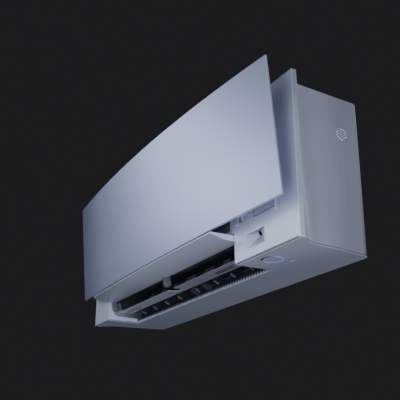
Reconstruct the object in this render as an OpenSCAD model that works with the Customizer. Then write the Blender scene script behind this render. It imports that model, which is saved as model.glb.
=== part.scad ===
/* [Case] */
// Width over the front frame
case_w = 900; // [880:1:920]
// Height of the front frame
case_h = 305; // [302:1:308]
// Distance of the front frame's face from the wall
front_y = 180.5; // [180:0.1:181]
// Wall thickness of the moulded covers
wall = 2.5; // [2:0.1:2.8]
// Height of the top grille's upper face
case_top = 298; // [297:0.5:299]
// Thickness of the bottom cover
bottom_t = 2.2; // [2:0.1:2.4]

/* [Front panel] */
// Height of the front panel
panel_h = 251; // [248:1:252]
// Thickness of the front panel
panel_t = 4; // [3:0.5:4.5]
// Forward bow of the panel at its top edge
bow_top = 23; // [18:1:24]
// Forward bow of the panel at its bottom edge
bow_bottom = 9; // [6:1:10]
// Forward lean of the panel with the unit running, in degrees
panel_lean = 5.03; // [4.8:0.01:5.1]

/* [Air outlet] */
// Left end of the outlet
out_l = -356; // [-357:0.5:-355]
// Right end of the outlet
out_r = 253; // [253:0.5:254]
// Front edge of the main flap, from the wall, at mid width
flap_tip = 233; // [230:1:234]
// Spacing of the upright louvres
louvre_pitch = 64.5; // [63:0.5:65]
// Pitch of the ribs along the outlet's rear lip
comb_pitch = 10.1; // [9:0.1:12]

/* [Fan] */
// Radius of the cross-flow fan
fan_r = 44; // [40:1:44]
// Blades around the fan
fan_blades = 35; // [24:1:36]
// Radius of the fan shaft
shaft_r = 4; // [4:0.1:4]

/* [Mounting plate] */
// Width between the wall screws
screw_dx = 450; // [300:10:480]
// Height between the wall screws
screw_dz = 120; // [100:10:130]
// Radius of the wall screw holes
screw_r = 3; // [2.5:0.1:3.5]

/* [Hidden] */
$fn = 48;

// the wall screws' centre lies this far above the bottom of the case
org = 150;
W = case_w / 2;
F = -front_y;
silver = [0.66, 0.69, 0.76];
dark = [0.12, 0.13, 0.15];
steel = [0.62, 0.63, 0.65];

module up() translate([0, 0, -org]) children();
module bx(x0, x1, y0, y1, z0, z1) translate([x0, y0, z0]) cube([x1 - x0, y1 - y0, z1 - z0]);
// a profile drawn in (y, z), carried along x
module run(x0, x1) translate([x0, 0, 0]) rotate([90, 0, 90]) linear_extrude(x1 - x0) children();
// a round bar along x
module rod(x0, x1, y, z, r) translate([x0, y, z]) rotate([0, 90, 0]) cylinder(h = x1 - x0, r = r);
// a round bar along y
module bar_y(x, z, y0, y1, r) translate([x, y0, z]) rotate([-90, 0, 0]) cylinder(h = y1 - y0, r = r);

// ---- plan of the right side of the case at its foot: a hollow sweep behind the front frame, then a slow taper
side = [[449.4, -170.2], [446.4, -167.8], [443, -164.8], [438, -159.6], [433.7, -153.7], [430, -148.2],
  [427, -142.6], [424.8, -136.5], [423.2, -129.5], [422, -121], [421.4, -111], [420.9, -98.8],
  [419.6, -80], [416.6, -62], [413.8, -47], [411.2, -30], [409, -14], [408, -8], [405, -3], [399, -0.6]];
// plan at the top: a short step behind the front frame, then an almost straight side
side_top = [[449.4, -170.2], [447.4, -168.2], [443, -167.9], [437, -167.6], [431, -167], [427, -165.4],
  [424.4, -162], [422.8, -156.5], [421.4, -148], [420, -133], [418.7, -115], [417.5, -98.8],
  [416.2, -80], [415, -62], [413.9, -47], [412.8, -30], [411.7, -14], [411, -8], [408, -3], [402, -0.6]];
// from the outer to the inner face of the cover, near the top, for the first eight points
step_in = [[-3.2, 0.5], [-2.6, -2.1], [-2, -2.4], [-1.6, -2.7], [-2, -3.1], [-3, -2.6], [-3.2, -1.6], [-3.2, -0.6]];
function shift(p, d) = [for (q = p) [q[0] - d, q[1]]];
function rev(p) = [for (i = [len(p) - 1:-1:0]) p[i]];
function flip(p) = [for (q = p) [-q[0], q[1]]];

// ================= wall plate and chassis =================
module mounting_plate() color(steel) up() difference() {
  union() {
    bx(-330, 330, -1.4, 0, 70, 236);
    for (x = [-170, 170]) {
      bx(x - 20, x + 20, -9, 0, 236, 238.4);
      bx(x - 20, x + 20, -9, -7.6, 236, 248);
    }
    for (x = [-330, 328.6]) bx(x, x + 1.4, -2.6, 0, 70, 236);
  }
  for (x = [-screw_dx / 2, screw_dx / 2], z = [org - screw_dz / 2, org + screw_dz / 2]) bar_y(x, z, -5, 5, screw_r);
  for (x = [-120, 0, 120]) bx(x - 38, x + 38, -5, 5, 118, 182);
}

module rear_chassis() color([0.2, 0.21, 0.23]) up() difference() {
  union() {
    bx(-398, 398, -6, -3.4, 4, 294);
    for (z = [30, 60]) bx(-398, 398, -9, -6, z, z + 3);
    // trough under the rear coil
    run(-352, 250) polygon([[-6, 176], [-30, 176], [-33, 188], [-30.5, 188], [-28.4, 179], [-6, 179]]);
    bx(-402.1, -398, -6, -3.4, 20, 280);
    bx(398, 402.1, -6, -3.4, 20, 280);
    bx(276, 282, -68, -5, 16, 52);
  }
  rod(270, 290, -47, 44, 4.86);
  rod(270, 290, -60, 26, 3.28);
  for (x = [-170, 170]) bx(x - 23, x + 23, -12, -2, 224, 238.5);
  bx(300, 380, -12, -2, 14, 56);
}

// the curved wall behind the fan, running down to the outlet's rear lip
gx = -95;
gz = 128;
function guide(o) = concat(
  [for (a = [58:-9:-50]) [gx + (50 + o + (58 - a) * 0.085) * cos(a), gz + (50 + o + (58 - a) * 0.085) * sin(a)]],
  [[-64.5 + o, 76 - o * 0.4], [-96 + o, 9.6], [-96 + o, 2.5]]);
module fan_scroll() color(dark) up() {
  run(-353.4, 250.5) polygon(concat(guide(0), rev(guide(2.6))));
  for (x = [-300, -150, 0, 150, 235]) bx(x, x + 3, -44, -6.2, 90, 100);
  // strip that the louvres stand on, and two cheeks beside the middle louvre
  at_louvre(-350) translate([0, -13.5, -0.5]) cube([597, 2.5, 2.5]);
  for (x = [-41, 10]) at_louvre(x) translate([0, -28, -0.5]) hull() {
    cube([8, 13, 1]);
    translate([0, 3, 20]) rotate([0, 90, 0]) cylinder(h = 8, r = 3);
  }
}

module end_profile() polygon([[-180, 58], [-175.5, 52], [-170.5, 34], [-165.4, 17], [-154, 12.4], [-96.6, 11.4],
  [-88, 11.4], [-62, 60], [-30, 100], [-28, 190], [-80, 285], [-100, 285], [-164, 190], [-164, 59]]);
module duct_end_left() color(dark) up() difference() {
  run(-356, -353.6) end_profile();
  rod(-360, -350, gx, gz, 8);
  rod(-360, -350, -167, 31, 3.4);
  rod(-360, -350, vane_a[0], vane_a[1], 2.4);
  rod(-360, -350, -150, 77, 8.1);
}
module duct_end_right() color(dark) up() difference() {
  run(250.7, 253) end_profile();
  rod(249, 258, gx, gz, 8);
  rod(249, 258, -167, 31, 3.4);
  rod(249, 258, vane_a[0], vane_a[1], 2.4);
  rod(249, 258, -47, 200, 6);
  rod(249, 258, -60, 216, 4.6);
  at_louvre(0) translate([249, 8, 17]) cube([9, 15.4, 5.6]);
}

// condensate trough; its underside is the front wall of the air duct
module drain_pan() color([0.16, 0.17, 0.19]) up() difference() {
  union() {
    run(-353.4, 250.5) polygon([[-168.6, 66.5], [-168.6, 108], [-166, 108], [-166, 86], [-144.6, 86], [-142.6, 112],
      [-140.6, 112], [-141.6, 84], [-160, 60.5], [-164.6, 60.5], [-164.6, 66.5]]);
    for (x = [-353.4, 249.1]) bx(x, x + 1.4, -166.5, -144, 84, 108);
    rod(-378, -351, -150, 77, 8);
  }
  rod(-382, -338, -150, 77, 6);
  bx(-348, -338, -156, -145, 76, 90);
}

// ================= coil =================
module coil(y, z, len, a) translate([0, y, z]) rotate([a, 0, 0]) {
  bx(-336, 228, -8.6, 8.6, 0, len);
  for (x = [-338.4, 228]) bx(x, x + 2.4, -9.2, 9.2, 0, len);
}
module evaporator_front() color([0.75, 0.77, 0.8]) up() {
  coil(-155.2, 88, 102, 0);
  coil(-152, 196, 90, -36);
  for (x = [-338.4, 228]) run(x + 0.4, x + 2) polygon([[-161, 182], [-149, 182], [-147, 193.4], [-155.4, 199]]);
}
module evaporator_rear() color([0.75, 0.77, 0.8]) up() coil(-43.6, 190, 80, 33);

// hairpin bends at the coil's ends
module bend(x, s) translate([x, 0, 0]) mirror([s < 0 ? 1 : 0, 0, 0]) rotate([90, 0, 0]) rotate([0, 0, -90])
  rotate_extrude(angle = 180, $fn = 40) translate([10, 0]) circle(r = 3.4, $fn = 20);
module bends(y, z, a, n, both = true) for (i = [0:n - 1]) translate([0, y, z]) rotate([a, 0, 0]) translate([0, i % 2 == 0 ? -3.6 : 3.6, 14 + i * 24]) {
  if (both) translate([230.4, 0, 0]) bend(0, 1);
  translate([-338.4, 0, 0]) bend(0, -1);
}
module evaporator_tubes() color([0.72, 0.45, 0.3]) up() {
  bends(-155.2, 88, 0, 4);
  bends(-152, 196, -36, 3);
  bends(-43.6, 190, 33, 2, false);
}

// a pipe from the coil's end plate, down the side of the motor and along to its flare nut
module pipe(x, y, z, zl, xe, r) {
  rod(230.4, x, y, z, r);
  translate([x, y, zl]) cylinder(h = z - zl, r = r);
  rod(x, xe, y, zl, r);
  for (k = [z, zl]) translate([x, y, k]) sphere(r = r);
}
module refrigerant_pipes() color([0.72, 0.45, 0.3]) up() {
  pipe(259.2, -47, 200, 44, 332, 4.76);
  pipe(257.6, -60, 216, 26, 332, 3.18);
}
module flare_nuts() color([0.78, 0.62, 0.3]) up() {
  difference() { translate([318, -47, 44]) rotate([0, 90, 0]) cylinder(h = 22, r = 11, $fn = 6); rod(316, 342, -47, 44, 4.86); }
  difference() { translate([320, -60, 26]) rotate([0, 90, 0]) cylinder(h = 18, r = 8, $fn = 6); rod(316, 342, -60, 26, 3.28); }
}

// ================= fan =================
module fan_blade(a) rotate([0, 0, a]) polygon([[fan_r - 11, -1.4], [fan_r - 6, 1], [fan_r - 0.6, 5], [fan_r - 1, 6.1], [fan_r - 6.4, 2.2], [fan_r - 11.4, -0.6]]);
module cross_flow_fan() color([0.1, 0.1, 0.11]) up() translate([0, gx, gz]) rotate([0, 90, 0]) difference() {
  union() {
    for (k = [0:5]) translate([0, 0, -347 + k * 98.5]) {
      linear_extrude(k == 5 ? 96.9 : 98) for (i = [0:fan_blades - 1]) fan_blade(i * 360 / fan_blades);
      translate([0, 0, k == 0 ? 0 : -1]) cylinder(h = k == 0 ? 2 : 2, r = fan_r);
    }
    translate([0, 0, 242]) cylinder(h = 2, r = fan_r);
    translate([0, 0, -347]) cylinder(h = 12, r = 9);
    translate([0, 0, 228]) cylinder(h = 16, r = 9);
  }
  translate([0, 0, -348]) cylinder(h = 12, r = shaft_r);
  translate([0, 0, 230]) cylinder(h = 20, r = shaft_r);
  for (k = [1:5]) translate([0, 0, -347 + k * 98.5 - 3]) cylinder(h = 6, r = fan_r - 14);
}
module fan_shaft() color(steel) up() {
  rod(-366, -337, gx, gz, shaft_r);
  rod(231, 330, gx, gz, shaft_r);
}
module fan_bearing() color([0.08, 0.08, 0.08]) up() difference() {
  union() {
    rod(-364, -356.2, gx, gz, 15);
    for (s = [-1, 1]) bx(-364, -356.2, gx - 4, gx + 4, gz + (s > 0 ? 10 : -28), gz + (s > 0 ? 28 : -10));
  }
  rod(-366, -350, gx, gz, shaft_r + 0.05);
}
module fan_motor() color([0.55, 0.56, 0.58]) up() difference() {
  union() {
    rod(264, 324, gx, gz, 42);
    rod(259, 327, gx, gz, 15);
  }
  rod(250, 340, gx, gz, shaft_r + 0.05);
}
module motor_clamp() color([0.25, 0.26, 0.28]) up() difference() {
  union() {
    rod(284, 304, gx, gz, 46);
    bx(284, 304, -60, -6.2, 100, 156);
  }
  rod(280, 310, gx, gz, 42);
}

// ================= electrical parts =================
module electrical_box() color([0.18, 0.19, 0.21]) up() difference() {
  bx(336, 403, -156, -6.1, 64, 280);
  bx(338, 401, -160, -8.4, 66, 278);
  rod(330, 340, -80, 90, 7);
}
module electrical_box_cover() color([0.6, 0.62, 0.65]) up() difference() {
  union() {
    bx(335, 404, -160, -156.1, 100, 281);
    for (z = [104, 272]) bx(340, 399, -156.2, -152, z, z + 3);
  }
  for (i = [0:7]) bx(346, 392, -165, -150, 200 + i * 8, 203 + i * 8);
}
module circuit_board() color([0.1, 0.32, 0.2]) up() {
  bx(342, 343.6, -148, -26, 74, 270);
  bx(343.6, 372, -140, -112, 200, 236);
  bx(343.6, 360, -100, -70, 210, 250);
  bx(343.6, 356, -60, -36, 100, 128);
  for (i = [0:3]) translate([343.6, -130 + i * 24, 160]) rotate([0, 90, 0]) cylinder(h = 22, r = 8);
  for (i = [0:4]) bx(343.6, 350, -126 + i * 20, -116 + i * 20, 80, 92);
  for (z = [80, 262], y = [-142, -34]) rod(338.2, 342, y, z, 3);
}
module terminal_block() color([0.12, 0.12, 0.13]) up() {
  difference() {
    bx(346, 398, -154, -130, 66, 96);
    for (i = [0:3]) bx(349 + i * 12.5, 358.5 + i * 12.5, -156, -138, 74, 90);
  }
  for (i = [0:3]) color(steel) bar_y(353.7 + i * 12.5, 82, -148, -138, 3.4);
}

// ================= covers =================
screws = [[200, 62.9], [-300, 62.9], [-41.5, 62.9]];
module window(x0, x1) bx(x0, x1, F - 2, F + 6, 68, 293);
module front_frame() color(silver) up() difference() {
  union() {
    difference() {
      bx(-W, W, F, F + 3, 0.2, case_h);
      bx(out_l, out_r, F - 1, F + 5, -1, 59.5);
    }
    bx(-W, W, F, F + 10, case_h - 9, case_h);
    for (s = [-1, 1]) bx(s > 0 ? W - 3.5 : -W, s > 0 ? W : -W + 3.5, F, F + 10, 0.2, case_h);
    bx(out_l, out_r, F, F + 9, 59.5, 66);
    bx(out_l - 2.5, out_l, F, F + 70, 3.4, 66);
    bx(out_l - 2.5, out_l, F, F + 80.5, 3.4, 20);
    bx(out_r, out_r + 2.5, F, F + 70, 3.4, 66);
    bx(out_r, W, F, F + 9, 3.4, 5.4);
    bx(-W, out_l, F, F + 9, 3.4, 5.4);
    // small ribs beside the right arm's slot
    bx(265, 266.4, F - 1.2, F + 1, 73, 88);
    bx(257, 266.4, F - 1.2, F + 1, 73, 74.6);
    bx(279.6, 281, F - 1.2, F + 1, 77, 88);
    bx(279.6, 293, F - 1.2, F + 1, 85.4, 87);
    bx(384.8, 386.2, F - 1.2, F + 1, 65, 88);
    // rails that hold the filters
    bx(-43, -40, F, F + 8.6, 66, 296);
    bx(-347.4, -345, F, F + 8.6, 66, 296);
    bx(262, 264.4, F, F + 8.6, 66, 296);
  }
  window(-345, -47);
  window(-36, 238);
  // slot that the filters slide out through
  bx(-344.6, -43, F + 3.1, F + 7.9, 280, 320);
  bx(-40, 261.6, F + 3.1, F + 7.9, 280, 320);
  // slots for the panel's arms
  for (x = arm_x) {
    bx(x - 6.5, x + 6.5, F - 2, F + 12, 82, 102);
    bx(x - 5.5, x + 5.5, F - 2, F + 12, 231, 264);
  }
  bx(266.5, 279.5, F - 2, F + 4, 74.6, 83);
  // seats of the service cover, the sensor and the button
  bx(316, 383, F - 1, F + 4, 71.4, 150);
  bx(291.3, 352.2, F - 1, F + 12, 16.8, 46.2);
  bar_y(298, 116, F - 1, F + 4, 4.3);
  for (q = screws) bar_y(q[0], q[1], F - 1, F + 12, 1.7);
  rod(out_r - 1, out_r + 4, -167, 31, 3.3);
}

// shell of one side, lofted from the plan at its foot to the plan at its top
function shell_ring(t, z) = let (
    p = [for (i = [0:19]) side[i] * (1 - t) + side_top[i] * t],
    q = [for (i = [0:19]) p[i] + [-3.1, 0] * (1 - t) + (i < 8 ? step_in[i] : [-3.1, 0]) * t])
  [for (k = concat(p, rev(q))) [k[0], k[1], z]];
module side_shell() polyhedron(
  points = concat(shell_ring(0, 3.4), shell_ring(1, 253), shell_ring(1, case_top)),
  faces = concat(
    [for (i = [0:18]) [i, i + 1, 38 - i]], [for (i = [0:18]) [i, 38 - i, 39 - i]],
    [for (i = [0:18]) [80 + i, 118 - i, 81 + i]], [for (i = [0:18]) [80 + i, 119 - i, 118 - i]],
    [for (k = [0, 40], i = [0:39]) [k + i, k + 40 + i, k + 40 + (i + 1) % 40]],
    [for (k = [0, 40], i = [0:39]) [k + i, k + 40 + (i + 1) % 40, k + (i + 1) % 40]]));
module side_cover_left() color(silver) up() mirror([1, 0, 0]) side_shell();
module side_cover_right() color(silver) up() difference() {
  side_shell();
  at_vent() rod(-12, 8, 0, 0, 15.2);
}

module intake_grille() color(silver) up() translate([0, 0, case_top - 2.8]) linear_extrude(2.6) difference() {
  let (q = concat([[423.6, -170.2], [422, -167.6], [420.2, -163.6], [418.9, -157]], [for (i = [8:17]) side_top[i] - [3.6, 0]]))
    polygon(concat(q, rev(flip(q))));
  for (i = [0:8], j = [0:8]) translate([-382 + j * 85.5, -156 + i * 16]) square([79, 11]);
}

module teeth() for (i = [0:floor(604 / comb_pitch) - 1]) bx(-352 + i * comb_pitch, -352 + i * comb_pitch + comb_pitch * 0.5, -99.8, -96.3, 0.6, 9.4);
module bottom_cover() color(silver) up() {
  difference() {
    let (q = concat([[W - 4.8, F + 4.8], [W - 4.8, -170.2]], side))
      linear_extrude(bottom_t) polygon(concat(q, rev(flip(q))));
    bx(out_l, out_r, F - 1, -99.6, -1, 5);
    // status ring
    translate([313.9, -140.1, -1]) cylinder(h = 5, r = 21.3);
    // lamp
    bx(314.7, 330.3, -104.5, -101.9, -1, 5);
  }
  teeth();
  // inner flanges that stiffen the plate
  for (y = [-80, -40]) bx(-395, 395, y, y + 2, 1, 6);
  // upstand against the chassis
  bx(-395, 395, -8, -6, 1, 12);
}

module service_cover() color(silver) up() {
  bx(317.2, 381.8, F + 0.6, F + 3, 72.6, 149.5);
  // catches behind the front frame
  bx(330, 368, F + 3, F + 5, 149, 154);
  bx(330, 368, F + 3, F + 5, 67, 73);
}

module sensor_bezel() color(silver) up() difference() {
  bx(291.5, 352, F, F + 19, 17, 46);
  // off-centre pyramid recess: the mouth is the whole face, the floor a small slot
  polyhedron(
    points = [[292.1, F - 0.3, 17.6], [351.4, F - 0.3, 17.6], [351.4, F - 0.3, 45.4], [292.1, F - 0.3, 45.4],
      [325.1, F + 9, 36.6], [331.4, F + 9, 36.5], [326.6, F + 9, 44.4], [320.1, F + 9, 44.7]],
    faces = [[3, 2, 1], [3, 1, 0], [4, 5, 6], [4, 6, 7], [1, 5, 4], [1, 4, 0], [2, 6, 5], [2, 5, 1],
      [3, 7, 6], [3, 6, 2], [0, 4, 7], [0, 7, 3]]);
}
module sensor_lens() color([0.02, 0.02, 0.02]) up() translate([0, F + 8.95, 0]) rotate([90, 0, 0]) linear_extrude(1.15)
  polygon([[325.2, 36.75], [331.15, 36.65], [326.5, 44.25], [320.35, 44.5]]);

module indicator_ring() color([0.35, 0.5, 0.95]) up() translate([313.9, -140.1, -0.3]) difference() {
  cylinder(h = 6.5, r = 21);
  translate([0, 0, -1]) cylinder(h = 9, r = 17.8);
}
module indicator_disc() color(silver) up() translate([313.9, -140.1, -0.2]) {
  cylinder(h = 2.4, r = 17.5);
  translate([0, 0, 2.4]) cylinder(h = 3.6, r = 16);
  translate([0, 0, 6]) cylinder(h = 2.6, r = 6);
}
module indicator_board() color([0.1, 0.32, 0.2]) up() {
  bx(282, 346, -168, -96, 8.4, 10);
  for (a = [0:30:330]) translate([313.9 + 19.4 * cos(a), -140.1 + 19.4 * sin(a), 6.2]) cylinder(h = 2.2, r = 1.4, $fn = 16);
  bx(315, 330, -104.2, -102.2, -0.2, 8.4);
  for (x = [286, 342], y = [-162, -102]) translate([x, y, 2.2]) cylinder(h = 6.2, r = 2);
}

// round vent over the room sensors, set square to the slope of the side: a cup with slanted rows of small slots
module at_vent() translate([413.9, -47, 224]) rotate([0, 0, 4.6]) children();
module side_vent() color([0.8, 0.82, 0.86]) up() at_vent() difference() {
  union() {
    rod(-6.4, -0.1, 0, 0, 14.9);
    rod(-6.4, -3.3, 0, 0, 17);
    // hoods over the slots
    rotate([37, 0, 0]) for (i = [-3:3], k = [-3:3]) if (pow(i * 4.3, 2) + pow(k * 3.6, 2) < 150) translate([-0.6, k * 3.6 - 1.2, i * 4.3 - 0.9]) cube([1.2, 2.4, 1.5]);
  }
  rod(-10, -1.6, 0, 0, 13);
  rotate([37, 0, 0]) for (i = [-3:3], k = [-3:3]) if (pow(i * 4.3, 2) + pow(k * 3.6, 2) < 150) translate([-4, k * 3.6 - 1.1, i * 4.3 - 2.1]) cube([8, 2.2, 1]);
}

module manual_button() color([0.5, 0.52, 0.56]) up() {
  bar_y(298, 116, F - 0.6, F + 3.4, 4);
  bar_y(298, 116, F + 3.4, F + 5, 5.4);
}

// ================= front panel and what moves it =================
px = 213;   // the panel's outer face at its bottom corners, from the wall
pz = 66;    // height of its bottom edge
nx = 24;
function bow(x, t) = (bow_bottom + (bow_top - bow_bottom) * t) * (1 - (x / W) * (x / W));
function pface(x, t, o) = [x, -px - panel_h * t * sin(panel_lean) - bow(x, t) + o, pz + panel_h * t * cos(panel_lean)];
// bevelled section: outer face inset at the edges, full size behind
function edge(x, t, b) = pface(x - sign(x) * (abs(x) > W - 1 ? b : 0), t + (t < 0.001 ? b / panel_h : t > 0.999 ? -b / panel_h : 0), 0);
module front_panel() color(silver) up() {
  pts = concat(
    [for (i = [0:nx], t = [0, 1]) edge(-W + i * 2 * W / nx, t, 1.6)],
    [for (i = [0:nx], t = [0, 1]) pface(-W + i * 2 * W / nx, t, 1.6)],
    [for (i = [0:nx], t = [0, 1]) pface(-W + i * 2 * W / nx, t, panel_t)]);
  m = 2 * (nx + 1);
  quads = concat(
    [for (i = [0:nx - 1]) [2 * i, 2 * i + 2, 2 * i + 3, 2 * i + 1]],
    [for (i = [0:nx - 1]) [2 * m + 2 * i, 2 * m + 2 * i + 1, 2 * m + 2 * i + 3, 2 * m + 2 * i + 2]],
    [for (k = [0, m], i = [0:nx - 1]) [k + 2 * i, k + m + 2 * i, k + m + 2 * i + 2, k + 2 * i + 2]],
    [for (k = [0, m], i = [0:nx - 1]) [k + 2 * i + 1, k + 2 * i + 3, k + m + 2 * i + 3, k + m + 2 * i + 1]],
    [for (k = [0, m]) [k, k + 1, k + m + 1, k + m]],
    [for (k = [0, m]) [k + 2 * nx, k + m + 2 * nx, k + m + 2 * nx + 1, k + 2 * nx + 1]]);
  tris = concat([for (q = quads) [q[0], q[2], q[1]]], [for (q = quads) [q[0], q[3], q[2]]]);
  polyhedron(points = pts, faces = tris);
}

// axes, in (y, z)
tilt = [-211.5, 100.76];
swing = [-232.6, 312.6];
arm_x = [-385, 273];
arm_run = [0.9651, -0.2620];

module panel_hinge_pins() color(steel) up() for (x = arm_x) difference() {
  union() {
    rod(x - 10, x + 10, swing[0], swing[1], 1.95);
    for (s = [-1, 1]) {
      e = x + s * 8.4;
      run(e - 1.9, e + 1.9) polygon([[swing[0] + 2.4, swing[1] - 2.4], [swing[0] + 2.4, swing[1] + 2.4], [pface(e, 1, 0)[1] + panel_t + 0.6, 313.4],
        [pface(e, 1, 0)[1] + panel_t + 1.55, 304]]);
    }
  }
}

module hanger(x) {
  difference() {
    union() {
      // flat bar, leaning with the panel
      run(x - 5, x + 5) polygon([[tilt[0] - 2, tilt[1] - 6], [tilt[0] + 1.6, tilt[1] - 6], [tilt[0] + 1.6, tilt[1] + 6],
        [-228, 303], [-230, 312], [-235, 312], [-232, 303], [tilt[0] - 2.5, tilt[1] + 6]]);
      rod(x - 5, x + 5, tilt[0], tilt[1], 3.2);
      rod(x - 5, x + 5, swing[0], swing[1], 3.4);
      // tongue with the slot that the upper arm's pin rides in
      run(x - 1.5, x + 1.5) polygon([[-224.4, 240], [-212.8, 240], [-215.6, 269], [-227, 269]]);
    }
    rod(x - 10, x + 10, tilt[0], tilt[1], 2.05);
    rod(x - 10, x + 10, swing[0], swing[1], 2.0);
    run(x - 3, x + 3) polygon([[-221.7, 246], [-216.3, 246], [-217.7, 263], [-223.1, 263]]);
    bx(x - 3.4, x + 3.4, tilt[0] - 7, tilt[0] + 7, tilt[1] - 7, tilt[1] + 7);
  }
}
module panel_hangers() color(steel) up() for (x = arm_x) hanger(x);

// toothed lower arms; they slide forward and a little up
pitch_r = 6.5;
module rack_arm(x) translate([0, tilt[0], tilt[1]]) rotate([-15.19, 0, 0]) {
  difference() {
    union() {
      bx(x - 3, x + 3, -2, 64, -3.5, 3.5);
      rod(x - 3, x + 3, 0, 0, 3);
      for (i = [0:19]) run(x - 3, x + 3) translate([2.769 + i * PI, 0]) polygon([[-1, -3.4], [-0.45, -5.3], [0.45, -5.3], [1, -3.4]]);
    }
  }
  rod(x - 9, x + 9, 0, 0, 2);
}
module panel_arms() color([0.75, 0.76, 0.78]) up() for (x = arm_x) rack_arm(x);

module upper_arm(x) {
  bx(x - 3, x + 3, -209.4, -150, 246, 254);
  for (s = [-1, 1]) bx(x + (s < 0 ? -4.8 : 2.2), x + (s < 0 ? -2.2 : 4.8), -222, -203.4, 246, 254);
  rod(x - 4.8, x + 4.8, -219.1, 250, 2);
}
module upper_arms() color([0.75, 0.76, 0.78]) up() for (x = arm_x) upper_arm(x);

pin_y = -158.9;
pin_z = 75.1;
module pinion(x) translate([x, pin_y, pin_z]) rotate([0, 90, 0]) difference() {
  union() {
    cylinder(h = 6, r = 5.2);
    linear_extrude(6) for (i = [0:12]) rotate([0, 0, i * 360 / 13 + 23.96]) polygon([[4.6, -1.1], [6.5, -0.55], [7.2, -0.3], [7.2, 0.3], [6.5, 0.55], [4.6, 1.1]]);
  }
  translate([0, 0, -1]) cylinder(h = 9, r = 2.4);
}
module panel_pinions() color([0.85, 0.85, 0.82]) up() for (x = arm_x) {
  pinion(x - 3);
  rod(x > 0 ? x - 5 : x - 14, x > 0 ? x + 14 : x + 5, pin_y, pin_z, 2.4);
}
module panel_motors() color(steel) up() for (x = arm_x) difference() {
  rod(x > 0 ? x + 7.6 : x - 24, x > 0 ? x + 24 : x - 7.6, pin_y, pin_z, 8);
  rod(x - 20, x + 20, pin_y, pin_z, 2.45);
}
module panel_guides() color([0.22, 0.23, 0.25]) up() for (x = arm_x) {
  for (s = [-1, 1]) {
    a = s < 0 ? x - 7.6 : x + 5.4;
    bx(a, a + 2.2, -177.5, -140, 238, 262);
    difference() {
      bx(a, a + 2.2, -177.5, -140, s * x > 0 ? 64 : 85.4, 106);
      rod(x - 12, x + 12, pin_y, pin_z, 2.6);
    }
  }
  for (z = [242.4, 255.2, 103.8]) bx(x - 5.6, x + 5.6, -168, -140, z, z + 2.2);
}

// ================= outlet =================
flap_a = [-167, 31];
function tip(x) = -flap_tip + 7.5 * pow((x - 20) / 370, 2);
module flap_plan() polygon(concat([[-352.8, -150]], [for (i = [0:16]) let (x = -352.8 + i * 602.8 / 16) [x, tip(x)]], [[250, -150]]));
module flap_section() polygon([[-236, 57], [-236, 55.6], [-228, 53], [-216, 49.4], [-204, 47], [-192, 45.6], [-178, 45], [-169, 45], [-163, 47.5], [-160, 51], [-160, 57]]);
module main_flap() color(silver) up() difference() {
  union() {
    intersection() {
      run(-352.8, 250) flap_section();
      translate([0, 0, 40]) linear_extrude(20) flap_plan();
    }
    for (q = [[-352.8, -346.5], [-57, -45], [243.5, 250]]) {
      run(q[0], q[1]) polygon([[flap_a[0] - 7.6, flap_a[1]], [flap_a[0] + 7, flap_a[1] + 2.6], [-163.8, 48], [-176, 48]]);
      rod(q[0], q[1], flap_a[0], flap_a[1], 7.6);
    }
  }
  for (q = [[-354, -345], [-58, -44], [242, 251]]) rod(q[0], q[1], flap_a[0], flap_a[1], 3.06);
  // recessed band in the right end cap
  run(248.6, 252) polygon([[-222, 54], [-214, 51.4], [-200, 49], [-186, 48], [-172, 48], [-172, 54.4]]);
}
module flap_pins() color([0.7, 0.72, 0.76]) up() {
  rod(-353.5, -345.4, flap_a[0], flap_a[1], 3);
  rod(-355.9, -353.5, flap_a[0], flap_a[1], 3.3);
  rod(-345.4, -344.4, flap_a[0], flap_a[1], 4.6);
  rod(-61.6, -44.6, flap_a[0], flap_a[1], 3);
  difference() {
    rod(-44.6, -42.4, flap_a[0], flap_a[1], 5);
    bx(-43.4, -42, flap_a[0] - 6, flap_a[0] + 6, flap_a[1] - 0.8, flap_a[1] + 0.8);
  }
}
module flap_support() color(dark) up() difference() {
  run(-61.8, -57.6) polygon([[-172, 26], [-162, 26], [-152, 34], [-146, 60], [-148, 68], [-153, 68.6], [-160.3, 60.2], [-158.4, 52], [-159, 38], [-166, 36], [-172, 34]]);
  rod(-63, -56, flap_a[0], flap_a[1], 3.0);
}
module flap_motors() color(steel) up() {
  difference() {
    union() {
      rod(255.8, 274, -160, 35, 12);
      bx(255.8, 257, -175, -145, 33, 37);
    }
  }
  rod(244, 255.8, flap_a[0], flap_a[1], 3);
  rod(-376, -358.8, -152, 38, 12);
  bx(-360, -358.8, -168, -137, 36, 40);
}

// inner guide vane, in two halves joined across the centre by a thin strip
vane_a = [-159, 40.95];
module guide_vane() color(silver) up() difference() {
  union() {
    difference() {
      run(-342, 239) polygon([[-158, 19.9], [-157, 21.5], [-138, 22.9], [-123, 23.1], [-121.9, 22.1], [-123, 21.2], [-137, 20.7], [-156, 19.2]]);
      bx(-66, -37, -160, -134, 10, 32);
      // vents near both ends
      for (i = [0:9], j = [0, 1]) bx(-333 + i * 7.2, -328.6 + i * 7.2, -144 + j * 8, -140.6 + j * 8, 15, 35);
      for (j = [0, 1]) bx(115 - j * 8, 185 - j * 8, -143.6 + j * 8, -140.4 + j * 8, 15, 35);
    }
    for (x = [-342, 237]) {
      run(x, x + 2) polygon([[-157.2, 20.6], [-152, 21.2], [-155.4, 41], [-162.6, 41]]);
      rod(x, x + 2, vane_a[0], vane_a[1], 3.6);
    }
    rod(-353.9, -342, vane_a[0], vane_a[1], 2.3);
    rod(239, 252, vane_a[0], vane_a[1], 2.3);
  }
}

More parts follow.
